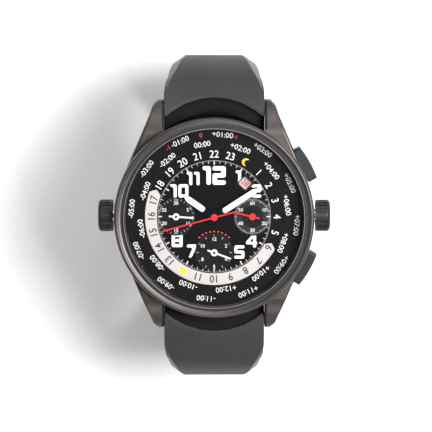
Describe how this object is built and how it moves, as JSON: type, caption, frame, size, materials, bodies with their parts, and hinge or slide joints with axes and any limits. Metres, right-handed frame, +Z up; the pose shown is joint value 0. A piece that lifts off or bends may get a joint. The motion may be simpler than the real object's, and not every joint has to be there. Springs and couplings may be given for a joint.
{
  "type": "world time watch",
  "caption": "Round wristwatch with a rotating zone ring, day and night ring, chronograph sub-dials, two side crowns, pushers and a rubber strap on a folding clasp.",
  "frame": {"origin": "centre of the case back's outer face, which lies on the wrist", "axes": "+Z up through the dial, +Y towards 12 o'clock, +X towards 3 o'clock"},
  "size_m": [0.0504, 0.0725, 0.0627],
  "materials": {
    "case_steel": "dark grey coated steel, satin",
    "bezel_steel": "dark grey coated steel, fine turned satin",
    "crown_steel": "very dark blue-grey coat",
    "steel": "plain steel",
    "clasp_steel": "dark grey coated steel, brushed",
    "glass": "clear sapphire",
    "gasket": "black",
    "plate": "rhodium plated brass",
    "brass": "gilt brass",
    "jewel": "synthetic ruby",
    "dial_black": "glossy black lacquer",
    "hand_white": "white luminous paint on steel",
    "hand_red": "red lacquer",
    "date_white": "matt white lacquer",
    "strap_rubber": "dark grey matt rubber"
  },
  "bodies": {
    "case": {"case_middle": "case_steel", "bezel": "bezel_steel", "crystal": "glass", "glass_gaskets": "gasket", "case_back": "bezel_steel", "back_window": "glass", "case_back_screws": "steel", "movement_ring": "steel", "main_plate": "plate", "plate_jewels": "jewel", "train_bridge": "plate", "barrel_bridge": "plate", "balance_cock": "plate", "bridge_screws": "steel", "stem_tubes": "steel", "lug_spring_bars": "steel", "rotor_bearing": "steel", "rotor_screw": "steel", "dial": "dial_black", "date_lens": "glass", "start_pusher_spring": "steel", "reset_pusher_spring": "steel"},
    "minute_hand": {"minute_hand": "hand_white", "cannon_pinion": "steel"},
    "minute_wheel": {"minute_wheel": "brass"},
    "hour_hand": {"hour_hand": "hand_white", "hour_wheel": "brass"},
    "ring_idler": {"ring_idler": "brass"},
    "day_night_ring": {"day_night_ring": "dial_black"},
    "small_seconds": {"fourth_wheel": "brass", "small_seconds_hand": "hand_red"},
    "third_wheel": {"third_wheel": "brass"},
    "center_wheel": {"center_wheel": "brass"},
    "escape_wheel": {"escape_wheel": "steel"},
    "barrel": {"barrel": "brass"},
    "pallet_fork": {"pallet_fork": "steel"},
    "balance": {"balance_wheel": "brass", "hairspring": "steel"},
    "chrono_seconds": {"chrono_seconds_hand": "hand_red"},
    "minute_counter": {"minute_counter_hand": "hand_white"},
    "hour_counter": {"hour_counter_hand": "hand_white"},
    "date_disc": {"date_disc": "date_white"},
    "zone_crown": {"zone_crown": "crown_steel", "zone_stem": "steel"},
    "zone_ring": {"zone_ring": "dial_black"},
    "crown_seal": {"crown_seal": "gasket"},
    "winding_crown": {"winding_crown": "crown_steel", "winding_stem": "steel"},
    "start_pusher": {"start_pusher": "crown_steel"},
    "reset_pusher": {"reset_pusher": "crown_steel"},
    "rotor": {"rotor": "plate"},
    "strap_upper": {"strap_upper": "strap_rubber", "upper_end_bar": "steel", "clasp_cover": "clasp_steel", "clasp_near_pin": "steel"},
    "clasp_middle": {"clasp_middle_blade": "clasp_steel"},
    "clasp_base": {"clasp_base_blade": "clasp_steel", "clasp_far_pin": "steel"},
    "strap_lower": {"strap_lower": "strap_rubber", "lower_end_bar": "steel"}
  },
  "joints": [
    {"name": "minute_hand_turn", "type": "hinge", "parent": "case", "child": "minute_hand", "pos_m": [0, 0, 0.0095], "axis": [0, 0, 1], "continuous": true},
    {"name": "minute_wheel_turn", "type": "hinge", "parent": "case", "child": "minute_wheel", "pos_m": [-0.00274, 0.00752, 0.00675], "axis": [0, 0, 1], "continuous": true},
    {"name": "hour_hand_turn", "type": "hinge", "parent": "case", "child": "hour_hand", "pos_m": [0, 0, 0.009], "axis": [0, 0, 1], "continuous": true},
    {"name": "ring_idler_turn", "type": "hinge", "parent": "case", "child": "ring_idler", "pos_m": [-0.00679, -0.00679, 0.0071], "axis": [0, 0, 1], "continuous": true},
    {"name": "day_night_ring_turn", "type": "hinge", "parent": "case", "child": "day_night_ring", "pos_m": [0, 0, 0.0082], "axis": [0, 0, 1], "continuous": true},
    {"name": "small_seconds_turn", "type": "hinge", "parent": "case", "child": "small_seconds", "pos_m": [0.00829, 0, 0.0087], "axis": [0, 0, 1], "continuous": true},
    {"name": "third_wheel_turn", "type": "hinge", "parent": "case", "child": "third_wheel", "pos_m": [0.00448, -0.00563, 0.005], "axis": [0, 0, 1], "continuous": true},
    {"name": "center_wheel_turn", "type": "hinge", "parent": "case", "child": "center_wheel", "pos_m": [0, 0, 0.0038], "axis": [0, 0, 1], "continuous": true},
    {"name": "escape_wheel_turn", "type": "hinge", "parent": "case", "child": "escape_wheel", "pos_m": [0.00969, 0.00522, 0.0051], "axis": [0, 0, 1], "continuous": true},
    {"name": "barrel_turn", "type": "hinge", "parent": "case", "child": "barrel", "pos_m": [-0.00714, 0.0026, 0.0047], "axis": [0, 0, 1], "continuous": true},
    {"name": "pallet_fork_rock", "type": "hinge", "parent": "case", "child": "pallet_fork", "pos_m": [0.00735, 0.00765, 0.0051], "axis": [0, 0, 1], "range_deg": [-5, 5]},
    {"name": "balance_swing", "type": "hinge", "parent": "case", "child": "balance", "pos_m": [0.0035, 0.0102, 0.004], "axis": [0, 0, 1], "range_deg": [-150, 150], "deforming": ["hairspring"]},
    {"name": "chrono_seconds_turn", "type": "hinge", "parent": "case", "child": "chrono_seconds", "pos_m": [0, 0, 0.0099], "axis": [0, 0, 1], "continuous": true},
    {"name": "minute_counter_turn", "type": "hinge", "parent": "case", "child": "minute_counter", "pos_m": [-0.00829, 0, 0.0087], "axis": [0, 0, 1], "continuous": true},
    {"name": "hour_counter_turn", "type": "hinge", "parent": "case", "child": "hour_counter", "pos_m": [0, -0.00788, 0.0087], "axis": [0, 0, 1], "continuous": true},
    {"name": "date_disc_turn", "type": "hinge", "parent": "case", "child": "date_disc", "pos_m": [0, 0, 0.00745], "axis": [0, 0, 1], "continuous": true},
    {"name": "zone_crown_turn", "type": "hinge", "parent": "case", "child": "zone_crown", "pos_m": [-0.023, 0, 0.0062], "axis": [1, 0, 0], "continuous": true},
    {"name": "zone_ring_turn", "type": "hinge", "parent": "case", "child": "zone_ring", "pos_m": [0, 0, 0.0085], "axis": [0, 0, 1], "continuous": true},
    {"name": "crown_pull", "type": "slide", "parent": "case", "child": "crown_seal", "axis": [1, 0, 0], "range_m": [0, 0.0012]},
    {"name": "winding_crown_turn", "type": "hinge", "parent": "crown_seal", "child": "winding_crown", "pos_m": [0.023, 0, 0.0062], "axis": [1, 0, 0], "continuous": true},
    {"name": "start_push", "type": "slide", "parent": "case", "child": "start_pusher", "axis": [-0.866, -0.5, 0], "range_m": [0, 0.0008], "stiffness_N_per_m": 1500, "springref_m": -0.0005, "deforming": ["start_pusher_spring"]},
    {"name": "reset_push", "type": "slide", "parent": "case", "child": "reset_pusher", "axis": [-0.866, 0.5, 0], "range_m": [0, 0.0008], "stiffness_N_per_m": 1500, "springref_m": -0.0005, "deforming": ["reset_pusher_spring"]},
    {"name": "rotor_turn", "type": "hinge", "parent": "case", "child": "rotor", "pos_m": [0, 0, 0.0016], "axis": [0, 0, 1], "continuous": true},
    {"name": "strap_upper_swing", "type": "hinge", "parent": "case", "child": "strap_upper", "pos_m": [0, 0.0233, 0.0026], "axis": [1, 0, 0], "range_deg": [0, 60]},
    {"name": "clasp_middle_fold", "type": "hinge", "parent": "strap_upper", "child": "clasp_middle", "pos_m": [0, -0.0144, -0.048], "axis": [1, 0, 0], "range_deg": [0, 120]},
    {"name": "clasp_base_fold", "type": "hinge", "parent": "clasp_middle", "child": "clasp_base", "pos_m": [0, 0.0086, -0.0475], "axis": [-1, 0, 0], "range_deg": [0, 120]},
    {"name": "strap_lower_swing", "type": "hinge", "parent": "case", "child": "strap_lower", "pos_m": [0, -0.0233, 0.0026], "axis": [-1, 0, 0], "range_deg": [0, 60]}
  ],
  "couplings": [
    {"joint": "hour_hand_turn", "follows": "minute_hand_turn", "ratio": 0.083333},
    {"joint": "minute_wheel_turn", "follows": "minute_hand_turn", "ratio": -0.33333},
    {"joint": "ring_idler_turn", "follows": "minute_hand_turn", "ratio": -0.16667},
    {"joint": "day_night_ring_turn", "follows": "minute_hand_turn", "ratio": -0.041667},
    {"joint": "third_wheel_turn", "follows": "small_seconds_turn", "ratio": -0.13333},
    {"joint": "center_wheel_turn", "follows": "small_seconds_turn", "ratio": 0.016667},
    {"joint": "escape_wheel_turn", "follows": "small_seconds_turn", "ratio": -8},
    {"joint": "barrel_turn", "follows": "small_seconds_turn", "ratio": -0.002381},
    {"joint": "minute_counter_turn", "follows": "chrono_seconds_turn", "ratio": 0.033333},
    {"joint": "hour_counter_turn", "follows": "chrono_seconds_turn", "ratio": 0.0013889},
    {"joint": "zone_ring_turn", "follows": "zone_crown_turn", "ratio": 0.083333},
    {"joint": "clasp_middle_fold", "follows": "strap_upper_swing", "ratio": 2},
    {"joint": "clasp_base_fold", "follows": "strap_upper_swing", "ratio": 2}
  ]
}
